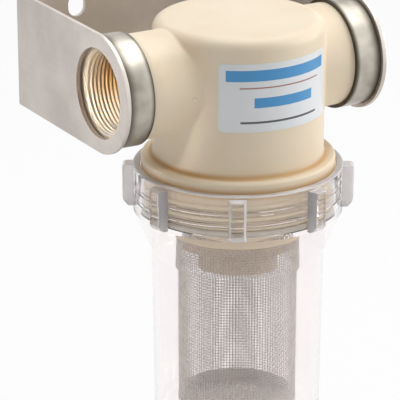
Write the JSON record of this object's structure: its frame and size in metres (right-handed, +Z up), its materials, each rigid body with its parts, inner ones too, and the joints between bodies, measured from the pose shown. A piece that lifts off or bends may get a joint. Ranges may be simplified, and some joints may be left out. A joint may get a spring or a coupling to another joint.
{
  "type": "sea water strainer",
  "caption": "In-line raw-water strainer with a moulded ported head in a U-shaped steel wall bracket and a woven screen inside a clear screw-on bowl.",
  "frame": {"origin": "middle of the bracket's back face, where it meets the bulkhead", "axes": "+X along the ports towards the outlet, +Y into the bulkhead, +Z up"},
  "size_m": [0.1524, 0.1529, 0.223],
  "materials": {
    "bracket_steel": "dull mill-finished stainless sheet",
    "band_steel": "bright turned stainless",
    "head_nylon": "satin moulded natural nylon",
    "label_film": "satin film",
    "mesh_steel": "plain woven stainless wire",
    "gasket_rubber": "pale silicone rubber",
    "bowl_clear": "clear glossy moulding"
  },
  "bodies": {
    "bracket": {"bracket": "bracket_steel"},
    "strainer_head": {"head": "head_nylon", "inlet_band": "band_steel", "outlet_band": "band_steel", "label": "label_film"},
    "screen": {"screen_mesh": "mesh_steel", "screen_bottom_cup": "mesh_steel"},
    "gasket": {"bowl_gasket": "gasket_rubber"},
    "bowl": {"bowl": "bowl_clear"}
  },
  "joints": [
    {"name": "head_swivel", "type": "hinge", "parent": "bracket", "child": "strainer_head", "pos_m": [0, -0.0935, 0], "axis": [1, 0, 0], "range_deg": [-90, 14]},
    {"name": "bowl_take_off", "type": "slide", "parent": "strainer_head", "child": "screen", "axis": [0, 0, -1], "range_m": [0, 0.06]},
    {"name": "bowl_thread_drop", "type": "slide", "parent": "screen", "child": "gasket", "axis": [0, 0, -1], "range_m": [0, 0.01201]},
    {"name": "bowl_turn", "type": "hinge", "parent": "gasket", "child": "bowl", "pos_m": [0.0055, -0.0935, -0.05], "axis": [0, 0, -1], "range_deg": [0, 720]}
  ],
  "couplings": [
    {"joint": "bowl_thread_drop", "follows": "bowl_turn", "m_per_rad": 0.00095493}
  ]
}
